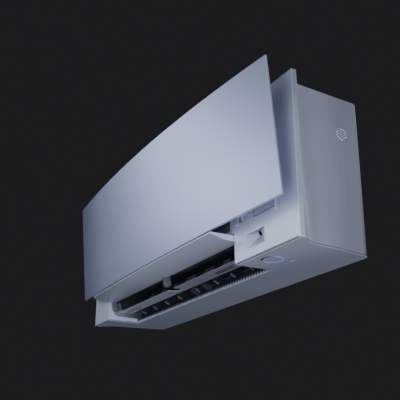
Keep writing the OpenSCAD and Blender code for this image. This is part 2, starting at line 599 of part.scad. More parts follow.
// upright louvres on pivots set square to the duct's rear wall
la = [0, -0.9048, 0.4258];     // along the pivot
lf = [-84, 35.6];              // pivot foot on the duct wall
module at_louvre(x) translate([x, lf[0], lf[1]]) rotate([64.8, 0, 0]) children();
module louvre(x) color([0.55, 0.57, 0.62]) up() at_louvre(x) {
  // local z runs along the pivot, local y upstream
  difference() {
    rotate([90, 0, 90]) translate([0, 0, -0.9]) linear_extrude(1.8) polygon([[8.5, 3], [-11, 3], [-22, 6.2], [-31, 11], [-31.3, 23.8],
      [-24, 25.6], [-16, 27.5], [-11, 32], [-4, 35], [8.5, 35]]);
  }
  // bead along the front edge
  translate([0, -31, 10.8]) cylinder(h = 13.2, r = 1.7);
  translate([0, 0, 0.8]) cylinder(h = 3, r = 3);
  translate([-1.2, 7, 22.8]) cube([2.4, 12, 2.4]);
  translate([0, 17, 16.4]) cylinder(h = 8, r = 1.2);
}
lx = [for (i = [0:3]) -289 + i * louvre_pitch];
rx = [-11, for (i = [0:2]) 70 + i * (louvre_pitch + 1.5)];
module louvre_1() louvre(lx[0]);
module louvre_2() louvre(lx[1]);
module louvre_3() louvre(lx[2]);
module louvre_4() louvre(lx[3]);
module louvre_5() louvre(rx[0]);
module louvre_6() louvre(rx[1]);
module louvre_7() louvre(rx[2]);
module louvre_8() louvre(rx[3]);
module link(x0, x1, xs) at_louvre(0) difference() {
  translate([x0, 10.2, 18.6]) cube([x1 - x0, 11, 2.4]);
  // slot for the motor's crank, outside the duct
  translate([x1 - 9, 11.6, 15]) cube([3.4, 8.2, 8]);
  for (x = xs) translate([x - 3.2, 12.2, 15]) cube([6.4, 7, 8]);
}
module louvre_links() color([0.3, 0.31, 0.34]) up() link(-300, 269, concat(lx, rx));
module louvre_motors() color(steel) up() at_louvre(0) {
  translate([267, 15.7, 22.4]) cylinder(h = 10, r = 9);
  translate([253, 10.7, 24.4]) cube([8, 10, 2]);
}

// ================= filters =================
module filter(x0, x1) {
  difference() {
    bx(x0, x1, F + 3.6, F + 7.4, 66.2, 303);
    for (i = [0:3], j = [0:3]) {
      w = (x1 - x0 - 8 * 5) / 4;
      bx(x0 + 8 + i * (w + 8), x0 + 8 + i * (w + 8) + w, F + 3, F + 8, 78 + j * 55, 78 + j * 55 + 48);
    }
  }
  bx(x0 + 4, x1 - 4, F + 5.2, F + 5.8, 72, 298);
}
module filter_left() color([0.35, 0.38, 0.42]) up() filter(-343.6, -44);
module filter_right() color([0.35, 0.38, 0.42]) up() filter(-39, 260.6);
module purifying_filters() color([0.2, 0.45, 0.55]) up() for (x = [-250, 90]) difference() {
  bx(x, x + 100, -168.8, -163.8, 150, 176);
  for (i = [0:5]) bx(x + 5 + i * 15.4, x + 17 + i * 15.4, -170, -165.4, 154, 172);
}

module case_screws() color(steel) up() {
  for (q = screws) {
    bar_y(q[0], q[1], F - 1.6, F - 0.02, 3.4);
    bar_y(q[0], q[1], F - 0.1, F + 8, 1.5);
  }
}

mounting_plate();
rear_chassis();
fan_scroll();
duct_end_left();
duct_end_right();
drain_pan();
evaporator_front();
evaporator_rear();
evaporator_tubes();
refrigerant_pipes();
flare_nuts();
cross_flow_fan();
fan_shaft();
fan_bearing();
fan_motor();
motor_clamp();
electrical_box();
electrical_box_cover();
circuit_board();
terminal_block();
front_frame();
side_cover_left();
side_cover_right();
intake_grille();
bottom_cover();
service_cover();
sensor_bezel();
sensor_lens();
indicator_ring();
indicator_disc();
indicator_board();
side_vent();
manual_button();
front_panel();
panel_hinge_pins();
panel_hangers();
panel_arms();
upper_arms();
panel_pinions();
panel_motors();
panel_guides();
main_flap();
flap_pins();
flap_support();
flap_motors();
guide_vane();
louvre_1();
louvre_2();
louvre_3();
louvre_4();
louvre_5();
louvre_6();
louvre_7();
louvre_8();
louvre_links();
louvre_motors();
filter_left();
filter_right();
purifying_filters();
case_screws();
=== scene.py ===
import bpy, bmesh, math
from mathutils import Matrix, Vector

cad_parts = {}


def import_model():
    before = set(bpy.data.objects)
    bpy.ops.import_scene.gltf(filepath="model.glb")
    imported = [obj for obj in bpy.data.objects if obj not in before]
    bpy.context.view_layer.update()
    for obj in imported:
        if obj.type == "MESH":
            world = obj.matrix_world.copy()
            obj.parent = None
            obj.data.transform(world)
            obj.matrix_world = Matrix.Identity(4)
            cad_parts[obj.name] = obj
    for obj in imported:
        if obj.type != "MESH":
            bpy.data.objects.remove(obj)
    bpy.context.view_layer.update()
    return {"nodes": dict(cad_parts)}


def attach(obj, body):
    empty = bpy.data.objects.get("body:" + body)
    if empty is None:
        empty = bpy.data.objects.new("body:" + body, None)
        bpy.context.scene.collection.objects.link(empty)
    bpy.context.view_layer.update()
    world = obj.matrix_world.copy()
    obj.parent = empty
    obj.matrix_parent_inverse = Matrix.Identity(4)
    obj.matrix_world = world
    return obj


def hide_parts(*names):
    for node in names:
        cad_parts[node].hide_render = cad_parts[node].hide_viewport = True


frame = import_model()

N = frame["nodes"]
rad = math.radians


# ------------------------------------------------------------------ camera
def v(*a):
    return Vector(a)


F = v(-0.8190, 0.4536, 0.3513).normalized()
R = v(0.4845, 0.8748, 0.0).normalized()
U = R.cross(F).normalized()
r = rad(-0.12)
R2 = math.cos(r) * R + math.sin(r) * U
U2 = -math.sin(r) * R + math.cos(r) * U
cam = bpy.data.cameras.new("camera")
cam.lens = 62.48
cam.sensor_width = 36
cam.clip_start = 0.01
cam.clip_end = 50
camera = bpy.data.objects.new("camera", cam)
bpy.context.scene.collection.objects.link(camera)
m = Matrix.Identity(4)
for i in range(3):
    m[i][0], m[i][1], m[i][2], m[i][3] = R2[i], U2[i], -F[i], (1.2895, -0.8268, -0.4821)[i]
camera.matrix_world = m
bpy.context.scene.camera = camera


# ------------------------------------------------------------------ materials
class Net:
    """A small helper for building node trees."""

    def __init__(self, name):
        self.mat = bpy.data.materials.new(name)
        self.mat.use_nodes = True
        self.t = self.mat.node_tree
        self.b = self.t.nodes["Principled BSDF"]
        self.co = self.t.nodes.new("ShaderNodeTexCoord").outputs["Object"]

    def node(self, kind, **kw):
        n = self.t.nodes.new("ShaderNode" + kind)
        for k, x in kw.items():
            setattr(n, k, x)
        return n

    def link(self, a, b):
        self.t.links.new(a, b)

    def put(self, sock, x):
        if isinstance(x, bpy.types.NodeSocket):
            self.link(x, sock)
        else:
            sock.default_value = x

    def noise(self, scale, detail=3.0, rough=0.55, stretch=None, dist=0.0):
        n = self.node("TexNoise")
        n.inputs["Scale"].default_value = scale
        n.inputs["Detail"].default_value = detail
        n.inputs["Roughness"].default_value = rough
        n.inputs["Distortion"].default_value = dist
        co = self.co
        if stretch:
            mp = self.node("Mapping")
            mp.inputs["Scale"].default_value = stretch
            self.link(co, mp.inputs["Vector"])
            co = mp.outputs["Vector"]
        self.link(co, n.inputs["Vector"])
        return n.outputs["Fac"]

    def rng(self, x, a, b, c, d, smooth=False):
        n = self.node("MapRange")
        n.interpolation_type = "SMOOTHSTEP" if smooth else "LINEAR"
        self.put(n.inputs["Value"], x)
        for k, val in zip(("From Min", "From Max", "To Min", "To Max"), (a, b, c, d)):
            n.inputs[k].default_value = val
        return n.outputs["Result"]

    def math(self, op, a, b=0.0):
        n = self.node("Math", operation=op)
        self.put(n.inputs[0], a)
        self.put(n.inputs[1], b)
        return n.outputs[0]

    def mix(self, f, a, b):
        n = self.node("Mix", data_type="RGBA")
        self.put(n.inputs[0], f)
        self.put(n.inputs[6], a if isinstance(a, bpy.types.NodeSocket) else (*a, 1))
        self.put(n.inputs[7], b if isinstance(b, bpy.types.NodeSocket) else (*b, 1))
        return n.outputs[2]

    def scale(self, c, f):
        n = self.node("VectorMath", operation="SCALE")
        self.link(c, n.inputs[0])
        self.put(n.inputs["Scale"], f)
        return n.outputs[0]

    def xyz(self):
        n = self.node("SeparateXYZ")
        self.link(self.co, n.inputs[0])
        return n.outputs

    def bump(self, h, strength=0.1, dist=0.0002, normal=None):
        n = self.node("Bump")
        n.inputs["Strength"].default_value = strength
        n.inputs["Distance"].default_value = dist
        self.link(h, n.inputs["Height"])
        if normal is not None:
            self.link(normal, n.inputs["Normal"])
        return n.outputs["Normal"]

    def set(self, **kw):
        for k, x in kw.items():
            self.put(self.b.inputs[k.replace("_", " ")], x)


def shade(c, k):
    return tuple(min(1.0, x * k) for x in c)


def moulded(name, col, rough=0.5, metal=0.0, var=0.05, grain=900.0, grain_h=0.12, spec=0.5, coat=0.0, speck=0.0, gain=None, mark=1.0):
    """Satin or matt moulding: slow colour drift, fine grain in the bump and the roughness, slight handling marks."""
    n = Net(name)
    slow = n.noise(5.0, 3.0)
    fine = n.noise(grain, 2.0, 0.6)
    marks = n.noise(38.0, 6.0, 0.7)
    base = n.mix(n.rng(slow, 0.3, 0.7, 0.0, 1.0, True), shade(col, 1 - var), shade(col, 1 + var))
    base = n.mix(n.rng(marks, 0.55, 0.75, 0.0, 0.18 * mark), base, shade(col, 0.86))
    if speck:
        flake = n.noise(2600.0, 1.0, 0.5)
        base = n.mix(n.rng(flake, 0.56, 0.72, 0.0, speck), base, shade(col, 1.7))
    if gain:
        base = n.scale(base, gain(n))
    n.link(base, n.b.inputs["Base Color"])
    n.b.inputs["Metallic"].default_value = metal
    n.b.inputs["Specular IOR Level"].default_value = spec
    n.b.inputs["Coat Weight"].default_value = coat
    n.b.inputs["Coat Roughness"].default_value = 0.3
    rr = n.math("ADD", n.rng(fine, 0.3, 0.7, -0.03, 0.03), n.rng(marks, 0.35, 0.75, rough - 0.03 * mark, rough + 0.05 * mark))
    n.link(rr, n.b.inputs["Roughness"])
    n.link(n.bump(fine, grain_h, 0.00012), n.b.inputs["Normal"])
    return n.mat


def metal(name, col, rough=0.35, streak=(1, 40, 1), var=0.12, dull=0.25):
    """Rolled, plated or turned metal with fine streaks and a little tarnish."""
    n = Net(name)
    line = n.noise(420.0, 4.0, 0.7, streak)
    blot = n.noise(22.0, 5.0, 0.65)
    base = n.mix(n.rng(line, 0.3, 0.7, 0.0, 1.0), shade(col, 1 - var), shade(col, 1 + var * 0.5))
    base = n.mix(n.rng(blot, 0.5, 0.75, 0.0, dull), base, shade(col, 0.55))
    n.link(base, n.b.inputs["Base Color"])
    n.b.inputs["Metallic"].default_value = 1.0
    n.link(n.math("ADD", n.rng(line, 0.3, 0.7, -0.05, 0.05), n.rng(blot, 0.35, 0.75, rough, rough + 0.15)), n.b.inputs["Roughness"])
    n.link(n.bump(line, 0.15, 0.0001), n.b.inputs["Normal"])
    return n.mat


def product(n, *f):
    x = f[0]
    for y in f[1:]:
        x = n.math("MULTIPLY", x, y)
    return x


def painted_light_panel(n):
    """Painted light: painted shade deepening towards the left end, a little lighter low down and darker high up, and a
    painted highlight on the thin rim along the right end and the bottom edge.
    """
    o = n.xyz()
    rim = n.math("MAXIMUM", n.rng(o[0], 0.4489, 0.4493, 0.0, 1.0), n.rng(o[2], -0.0836, -0.0832, 1.0, 0.0))
    return product(n, n.rng(o[0], -0.45, -0.27, 0.66, 1.0, True), n.rng(o[2], -0.03, 0.07, 1.05, 0.95, True), n.rng(rim, 0, 1, 1.0, 1.25))


def painted_light_frame(n):
    """Painted light: lighter on the lower blocks; painted shade near the top and left of x = -0.36; a painted highlight
    on the front vertical edge and on the bottom edge at the right corner; painted shade along the rest of the bottom
    edge.
    """
    o = n.xyz()
    foot = n.rng(o[2], -0.1480, -0.1476, 1.0, 0.0)
    corner = n.rng(o[0], 0.4455, 0.4460, 0.0, 1.0)
    side = n.math("MULTIPLY", n.rng(o[0], 0.4485, 0.4489, 0.0, 1.0), n.rng(o[1], -0.1796, -0.1792, 1.0, 0.0))
    under = n.math("MULTIPLY", foot, n.math("SUBTRACT", 1.0, corner))
    painted_highlight = n.math("MAXIMUM", n.math("MULTIPLY", foot, corner), side)
    return product(n, n.rng(o[2], 0.05, 0.12, 1.05, 0.72, True), n.rng(o[2], -0.105, -0.075, 1.28, 1.0, True), n.rng(o[0], -0.37, -0.35, 0.88, 1.0),
                   n.rng(painted_highlight, 0, 1, 1.0, 1.35), n.rng(under, 0, 1, 1.0, 0.3))


def gain_service(n):
    """The rim of the small cover is in the shade of its joint."""
    o = n.xyz()
    rim = n.math("MAXIMUM", n.math("MAXIMUM", n.rng(o[0], 0.3181, 0.3184, 1.0, 0.0), n.rng(o[0], 0.3806, 0.3809, 0.0, 1.0)), n.rng(o[2], -0.0764, -0.0761, 1.0, 0.0))
    return n.rng(rim, 0, 1, 1.0, 0.4)


def band(n, x, a, b, soft=0.0001):
    """1 between a and b, 0 elsewhere."""
    return n.math("MULTIPLY", n.rng(x, a - soft, a, 0.0, 1.0), n.rng(x, b, b + soft, 1.0, 0.0))


# Painted shade on the side covers: darker towards the rear, a little darker towards the top, and half as bright along
# the rear edge.
def painted_shade_side(n):
    o = n.xyz()
    return product(n, n.rng(o[1], -0.11, -0.035, 1.0, 0.76, True), n.rng(o[2], 0.0, 0.14, 1.0, 0.9, True), n.rng(o[1], -0.013, -0.007, 1.0, 0.5))


def painted_light_bottom(n):
    """Painted light: lighter near the front right corner and a painted highlight along the front edge; painted shade on
    the ribs above their foot.
    """
    o = n.xyz()
    s = n.math("SUBTRACT", n.math("MULTIPLY", o[0], 0.5), n.math("MULTIPLY", o[1], 1.5))
    joint = n.rng(o[1], -0.1728, -0.1722, 1.35, 1.0)
    rib = n.math("MULTIPLY", n.rng(o[2], -0.1450, -0.1440, 0.0, 1.0), n.math("MULTIPLY", n.rng(o[1], -0.1000, -0.0999, 0.0, 1.0), n.rng(o[1], -0.0962, -0.0960, 1.0, 0.0)))
    return product(n, n.rng(s, 0.26, 0.40, 0.88, 1.2, True), joint, n.rng(rib, 0, 1, 1.0, 0.2))


# Painted shade: the flap darkens towards its left end and is a little lighter at the right.
def painted_shade_flap(n):
    return n.rng(n.xyz()[0], -0.33, -0.05, 0.72, 1.1, True)


# Painted shade on the guide vane: darker towards the right and along its upper part, and its slots painted nearly black
# as holes in shade.
def painted_shade_vane(n):
    o = n.xyz()
    step = n.math("FRACT", n.math("MULTIPLY", n.math("ADD", o[0], 0.3333), 1 / 0.0072))
    rows = n.math("MAXIMUM", band(n, o[1], -0.1446, -0.1400), band(n, o[1], -0.1366, -0.1320))
    left = product(n, band(n, o[0], -0.3333, -0.2636), n.rng(step, 0.70, 0.74, 1.0, 0.0), rows)
    right = n.math("MAXIMUM", n.math("MULTIPLY", band(n, o[0], 0.1147, 0.1853), band(n, o[1], -0.1440, -0.1400)),
                   n.math("MULTIPLY", band(n, o[0], 0.1067, 0.1773), band(n, o[1], -0.1360, -0.1320)))
    return product(n, n.rng(o[0], -0.22, 0.08, 0.95, 0.62, True), n.rng(o[2], -0.1262, -0.1255, 1.0, 0.3), n.rng(n.math("MAXIMUM", left, right), 0, 1, 1.0, 0.06))


def gain_pin(n):
    """The slots in the centre pin's head, and the joint behind it, are in shade."""
    return n.rng(band(n, n.xyz()[0], -0.0450, -0.04325), 0, 1, 1.0, 0.12)


def painted_light_recess(n):
    """Painted light and shade: the four slopes of the recess get different tones (painted shade on the top and bottom
    slopes, lighter low on the left slope), and the face round the recess is painted lighter.
    """
    o = n.xyz()
    t = n.rng(o[1], -0.1805, -0.1715, 0.0, 1.0)
    inside = n.rng(o[1], -0.1804, -0.1801, 0.0, 1.0)
    up = n.math("SUBTRACT", n.math("SUBTRACT", 0.0454 - 0.15, n.math("MULTIPLY", t, 0.00085)), o[2])
    low = n.math("SUBTRACT", n.math("SUBTRACT", o[2], 0.0176 - 0.15), n.math("MULTIPLY", t, 0.019))
    top = n.rng(up, 0.0003, 0.0005, 1.0, 0.0)
    bottom = n.rng(low, 0.0003, 0.0008, 1.0, 0.0)
    right = n.rng(o[0], 0.3225, 0.3235, 0.0, 1.0)
    left_tone = n.rng(o[2], -0.1310, -0.1080, 1.35, 1.0)
    tone = n.math("ADD", n.math("MULTIPLY", left_tone, n.math("SUBTRACT", 1.0, right)), n.math("MULTIPLY", right, 0.9))
    for k, f in ((top, 0.55), (bottom, 0.66)):
        tone = n.math("ADD", n.math("MULTIPLY", tone, n.math("SUBTRACT", 1.0, k)), n.math("MULTIPLY", k, f))
    return n.math("ADD", n.math("MULTIPLY", tone, inside), n.math("MULTIPLY", n.math("SUBTRACT", 1.0, inside), 1.28))


SILVER = (0.565, 0.618, 0.775)
M = {}
for key, fn in (("silver", None), ("frame", painted_light_frame), ("side", painted_shade_side), ("bottom", painted_light_bottom), ("recess", painted_light_recess), ("service", gain_service)):
    M[key] = moulded(key + "_satin", SILVER, 0.44, 0.55, 0.03, 1400.0, 0.05, 0.5, speck=0.10, gain=fn, mark=0.3)
M["panel"] = moulded("panel_satin", (0.570, 0.628, 0.89), 0.35, 0.74, 0.012, 1600.0, 0.04, 0.5, speck=0.10, gain=painted_light_panel, mark=0.15)
M["flap"] = moulded("flap_satin", (0.56, 0.608, 0.745), 0.42, 0.5, 0.03, 1400.0, 0.05, 0.5, speck=0.08, gain=painted_shade_flap, mark=0.3)
M["vane"] = moulded("vane_satin", (0.56, 0.608, 0.745), 0.42, 0.5, 0.03, 1400.0, 0.05, 0.5, speck=0.08, gain=painted_shade_vane, mark=0.3)
# A lighter copy of the silver for the indicator disc: painted light.
M["disc"] = moulded("disc_painted_light", (0.66, 0.725, 0.90), 0.44, 0.55, 0.03, 1400.0, 0.05, 0.5)
# A dark copy of the silver for the flap hubs and arms: painted shade.
M["hub"] = moulded("hub_painted_shade", (0.115, 0.126, 0.158), 0.46, 0.3, 0.05, 1400.0, 0.05, 0.5)
# A dark copy of the silver for the flap pins: painted shade.
M["pin"] = moulded("pin_painted_shade", (0.17, 0.185, 0.225), 0.42, 0.3, 0.05, 1400.0, 0.05, 0.5, gain=gain_pin)
# A mid-grey copy of the silver for the panel guides: painted shade, standing in for the frame face seen through its
# slots.
M["guide"] = moulded("guide_painted_shade", (0.34, 0.37, 0.45), 0.5, 0.1, 0.06, 900.0, 0.1, 0.5)
M["black"] = moulded("duct_black", (0.010, 0.011, 0.014), 0.62, 0.0, 0.25, 700.0, 0.2, 0.35)
M["chassis"] = moulded("chassis_black", (0.035, 0.037, 0.042), 0.6, 0.0, 0.2, 700.0, 0.2, 0.4)
M["louvre"] = moulded("louvre_grey", (0.16, 0.17, 0.20), 0.42, 0.2, 0.1, 900.0, 0.12, 0.5)
M["fan"] = moulded("fan_black", (0.050, 0.055, 0.070), 0.5, 0.0, 0.2, 900.0, 0.15, 0.4)
M["box"] = moulded("box_grey", (0.07, 0.075, 0.085), 0.55, 0.0, 0.12, 800.0, 0.2, 0.4)
M["nylon"] = moulded("nylon_white", (0.66, 0.67, 0.68), 0.42, 0.0, 0.05, 900.0, 0.1, 0.5)
M["button"] = moulded("button_grey", (0.30, 0.31, 0.345), 0.5, 0.1, 0.06, 1000.0, 0.1, 0.5)
M["rubber"] = moulded("rubber_black", (0.018, 0.018, 0.019), 0.75, 0.0, 0.2, 500.0, 0.3, 0.3)
M["zinc"] = metal("zinc_steel", (0.52, 0.53, 0.56), 0.36, (1, 30, 1))
M["shaft"] = metal("ground_steel", (0.60, 0.61, 0.63), 0.22, (1, 1, 60))
M["copper"] = metal("copper_tube", (0.76, 0.38, 0.24), 0.3, (20, 1, 1), 0.15, 0.4)
M["brass"] = metal("turned_brass", (0.74, 0.54, 0.24), 0.28, (60, 1, 1))


def coil_material():
    n = Net("coil_fins")
    x = n.xyz()[0]
    wave = n.math("PINGPONG", n.math("MULTIPLY", x, 1000.0 / 1.4), 0.5)
    fin = n.rng(wave, 0.12, 0.3, 1.0, 0.0, True)
    blot = n.noise(30.0, 4.0)
    lit = n.mix(n.rng(blot, 0.3, 0.7, 0.0, 1.0), (0.50, 0.56, 0.62), (0.62, 0.66, 0.70))
    n.link(n.mix(fin, (0.03, 0.035, 0.045), lit), n.b.inputs["Base Color"])
    n.link(n.rng(fin, 0, 1, 0.2, 0.9), n.b.inputs["Metallic"])
    n.b.inputs["Roughness"].default_value = 0.35
    n.link(n.bump(fin, 0.6, 0.0006), n.b.inputs["Normal"])
    return n.mat


def mesh_material():
    n = Net("filter_weave")
    o = n.xyz()
    p = 1000.0 / 1.1
    a = n.rng(n.math("PINGPONG", n.math("MULTIPLY", o[0], p), 0.5), 0.12, 0.26, 1.0, 0.0, True)
    b = n.rng(n.math("PINGPONG", n.math("MULTIPLY", o[2], p), 0.5), 0.12, 0.26, 1.0, 0.0, True)
    th = n.math("MAXIMUM", a, b)
    dust = n.noise(26.0, 5.0, 0.7)
    thread = n.mix(n.rng(dust, 0.4, 0.7, 0.0, 1.0), (0.16, 0.17, 0.20), (0.30, 0.31, 0.33))
    n.link(n.mix(th, (0.008, 0.008, 0.01), thread), n.b.inputs["Base Color"])
    n.b.inputs["Roughness"].default_value = 0.7
    n.link(n.bump(th, 0.7, 0.0004), n.b.inputs["Normal"])
    return n.mat


def board_material():
    n = Net("board_green")
    o = n.xyz()
    tr = n.noise(160.0, 0.0, 0.5, (1, 1, 6))
    blk = n.noise(60.0, 1.0, 0.5)
    base = n.mix(n.rng(tr, 0.49, 0.53, 0.0, 1.0), (0.012, 0.09, 0.05), (0.03, 0.17, 0.09))
    base = n.mix(n.rng(blk, 0.66, 0.68, 0.0, 0.8), base, (0.55, 0.50, 0.35))
    n.link(base, n.b.inputs["Base Color"])
    n.b.inputs["Roughness"].default_value = 0.3
    n.link(n.bump(tr, 0.2, 0.0002), n.b.inputs["Normal"])
    return n.mat


def indicator_material():
    """Circuit board whose small lamps, standing below it, are white."""
    n = Net("indicator_board")
    o = n.xyz()
    tr, spot = n.noise(160.0, 0.0, 0.5, (1, 6, 1)), n.noise(400.0, 2.0)
    board = n.mix(n.rng(tr, 0.49, 0.53, 0.0, 1.0), (0.012, 0.09, 0.05), (0.03, 0.17, 0.09))
    lamp = n.mix(n.rng(spot, 0.3, 0.7, 0.0, 1.0), (0.66, 0.69, 0.76), (0.78, 0.80, 0.86))
    low = n.rng(o[2], -0.1419, -0.1417, 1.0, 0.0)
    n.link(n.mix(low, board, lamp), n.b.inputs["Base Color"])
    n.link(n.rng(spot, 0.3, 0.7, 0.3, 0.4), n.b.inputs["Roughness"])
    n.link(n.bump(tr, 0.2, 0.0002), n.b.inputs["Normal"])
    return n.mat


def lens_material():
    n = Net("lens_dark")
    s = n.noise(90.0, 4.0)
    n.link(n.mix(n.rng(s, 0.4, 0.7, 0, 1), (0.0003, 0.0003, 0.0004), (0.001, 0.001, 0.0015)), n.b.inputs["Base Color"])
    n.link(n.rng(s, 0.3, 0.7, 0.52, 0.62), n.b.inputs["Roughness"])
    n.b.inputs["Specular IOR Level"].default_value = 0.04
    return n.mat


def duct_end_material():
    """Dark duct cheek; its low front corner, under the guide vane, is mid grey, fading into painted shade upwards and
    towards the rear.
    """
    n = Net("duct_end_grey")
    o = n.xyz()
    slow, fine = n.noise(60.0, 4.0), n.noise(700.0, 2.0)
    # Painted shade: the grey corner fades darker upwards and towards the rear.
    low = n.math("MULTIPLY", n.rng(o[2], -0.124, -0.114, 1.0, 0.0, True), n.rng(o[1], -0.150, -0.100, 1.0, 0.15, True))
    dark = n.mix(n.rng(slow, 0.3, 0.7, 0, 1), (0.020, 0.022, 0.028), (0.032, 0.034, 0.042))
    grey = n.mix(n.rng(slow, 0.3, 0.7, 0, 1), (0.17, 0.18, 0.215), (0.22, 0.23, 0.27))
    n.link(n.mix(low, dark, grey), n.b.inputs["Base Color"])
    n.link(n.rng(fine, 0.3, 0.7, 0.5, 0.6), n.b.inputs["Roughness"])
    n.b.inputs["Specular IOR Level"].default_value = 0.4
    n.link(n.bump(fine, 0.2, 0.00015), n.b.inputs["Normal"])
    return n.mat


def vent_material():
    """Silver vent; the small hoods that stand proud of its rows carry a painted highlight, strongest round the vent's
    border.
    """
    n = Net("vent_grey")
    o = n.xyz()
    c, k = math.cos(rad(4.6)), math.sin(rad(4.6))
    out = n.math("ADD", n.math("MULTIPLY", n.math("ADD", o[0], -0.4139), c), n.math("MULTIPLY", n.math("ADD", o[1], 0.047), k))
    a, b = n.math("ADD", o[1], 0.047), n.math("ADD", o[2], -0.074)
    rr = n.math("ADD", n.math("MULTIPLY", a, a), n.math("MULTIPLY", b, b))
    # Painted highlight on the proud hoods: full round the border, 30% inside.
    proud = product(n, n.rng(out, 0.0, 0.0002, 0.0, 1.0), n.rng(rr, 0.000070, 0.000105, 0.30, 1.0))
    slow, fine = n.noise(40.0, 3.0), n.noise(1200.0, 2.0)
    flat = n.mix(n.rng(slow, 0.3, 0.7, 0, 1), (0.42, 0.46, 0.575), (0.45, 0.49, 0.605))
    hood_highlight = n.mix(n.rng(slow, 0.3, 0.7, 0, 1), (0.93, 0.94, 0.96), (0.97, 0.97, 0.98))
    n.link(n.mix(proud, flat, hood_highlight), n.b.inputs["Base Color"])
    n.link(n.rng(proud, 0, 1, 0.5, 0.05), n.b.inputs["Metallic"])
    n.link(n.rng(fine, 0.3, 0.7, 0.42, 0.5), n.b.inputs["Roughness"])
    n.link(n.bump(fine, 0.08, 0.00012), n.b.inputs["Normal"])
    return n.mat


def ring_material():
    """Light guide: it glows towards the rear and right of the ring; at the front left its colour fades to painted
    shade.
    """
    n = Net("ring_glow")
    o = n.xyz()
    dx = n.math("SUBTRACT", o[0], 0.3139)
    dy = n.math("SUBTRACT", o[1], -0.1401)
    d = n.math("MULTIPLY", n.math("ADD", n.math("MULTIPLY", dx, -0.05), n.math("MULTIPLY", dy, 1.0)), 1 / 0.0195)
    e = n.math("MULTIPLY", n.math("ADD", n.math("MULTIPLY", dx, 0.125), n.math("MULTIPLY", dy, 0.845)), 1 / 0.0195)
    fac = n.rng(d, -0.95, -0.25, 0.0, 1.0, True)
    hot = n.rng(e, 0.1, 0.8, 0.0, 1.0, True)
    spark = n.noise(500.0, 2.0)
    # Painted shade: the ring's colour darkens to nearly black at the front left, where its groove wall is in shade.
    body = n.mix(fac, (0.01, 0.012, 0.02), (0.26, 0.30, 0.48))
    n.link(body, n.b.inputs["Base Color"])
    n.link(n.mix(hot, (0.17, 0.21, 0.50), (0.03, 0.11, 0.80)), n.b.inputs["Emission Color"])
    n.link(n.math("MULTIPLY", n.rng(spark, 0.3, 0.7, 0.9, 1.1), n.rng(fac, 0, 1, 0.0, 0.7)), n.b.inputs["Emission Strength"])
    n.b.inputs["Roughness"].default_value = 0.3
    return n.mat


def paper_material():
    n = Net("purifier_pleats")
    o = n.xyz()
    pl = n.math("PINGPONG", n.math("MULTIPLY", o[0], 1000.0 / 2.6), 0.5)
    n.link(n.mix(n.rng(pl, 0, 0.5, 0, 1, True), (0.03, 0.09, 0.12), (0.10, 0.27, 0.33)), n.b.inputs["Base Color"])
    n.b.inputs["Roughness"].default_value = 0.75
    n.link(n.bump(pl, 0.8, 0.001), n.b.inputs["Normal"])
    return n.mat


def scroll_material():
    """Black duct wall; the strip and cheeks that stand on it are dark grey; the low band behind the comb is painted mid
    grey at its foot as the shaded gaps between the teeth, darker upwards.
    """
    n = Net("scroll_black")
    o = n.xyz()
    up = n.math("ADD", n.math("MULTIPLY", n.math("ADD", o[1], 0.084), -0.9048), n.math("MULTIPLY", n.math("ADD", o[2], 0.1144), 0.4258))
    low = n.rng(o[2], -0.106, -0.104, 1.0, 0.0)
    proud = n.math("MULTIPLY", n.rng(up, 0.0006, 0.0012, 0.0, 1.0), low)
    # Painted shade: mid grey at the foot of the band behind the comb, fading darker upwards.
    comb_gap_shade = n.math("MULTIPLY", n.rng(o[2], -0.1405, -0.1385, 1.0, 0.0), n.rng(o[2], -0.1465, -0.1440, 1.0, 0.15))
    slow, fine = n.noise(60.0, 4.0), n.noise(700.0, 2.0)
    black = n.mix(n.rng(slow, 0.3, 0.7, 0, 1), (0.010, 0.011, 0.015), (0.020, 0.022, 0.029))
    black = n.scale(black, n.rng(o[2], -0.120, -0.100, 1.0, 4.0))
    grey = n.mix(n.rng(slow, 0.3, 0.7, 0, 1), (0.13, 0.14, 0.17), (0.17, 0.18, 0.215))
    n.link(n.mix(n.math("MAXIMUM", n.math("MULTIPLY", proud, 0.16), n.math("MULTIPLY", comb_gap_shade, 1.15)), black, grey), n.b.inputs["Base Color"])
    n.link(n.rng(fine, 0.3, 0.7, 0.5, 0.6), n.b.inputs["Roughness"])
    n.b.inputs["Specular IOR Level"].default_value = 0.4
    n.link(n.bump(fine, 0.2, 0.00015), n.b.inputs["Normal"])
    return n.mat


def louvre_material():
    """Grey louvre with dark faces; its beaded front edge carries a painted highlight."""
    n = Net("louvre_grey")
    o = n.xyz()
    along = n.math("ADD", n.math("MULTIPLY", n.math("ADD", o[1], 0.084), 0.4258), n.math("MULTIPLY", n.math("ADD", o[2], 0.1144), 0.9048))
    # Painted highlight along the louvre's front edge.
    front = n.rng(along, -0.0295, -0.0285, 1.0, 0.0)
    slow, fine = n.noise(50.0, 4.0), n.noise(900.0, 2.0)
    face = n.mix(n.rng(slow, 0.3, 0.7, 0, 1), (0.010, 0.011, 0.016), (0.016, 0.018, 0.025))
    n.link(n.mix(front, face, (0.085, 0.092, 0.115)), n.b.inputs["Base Color"])
    n.link(n.rng(fine, 0.3, 0.7, 0.38, 0.46), n.b.inputs["Roughness"])
    n.link(n.bump(fine, 0.12, 0.00012), n.b.inputs["Normal"])
    return n.mat


M["coil"] = coil_material()
M["scroll"] = scroll_material()
M["louvre_face"] = louvre_material()
M["weave"] = mesh_material()
M["board"] = board_material()
M["lens"] = lens_material()
M["duct_end"] = duct_end_material()
M["vent"] = vent_material()
M["indicator"] = indicator_material()
M["ring"] = ring_material()
M["paper"] = paper_material()

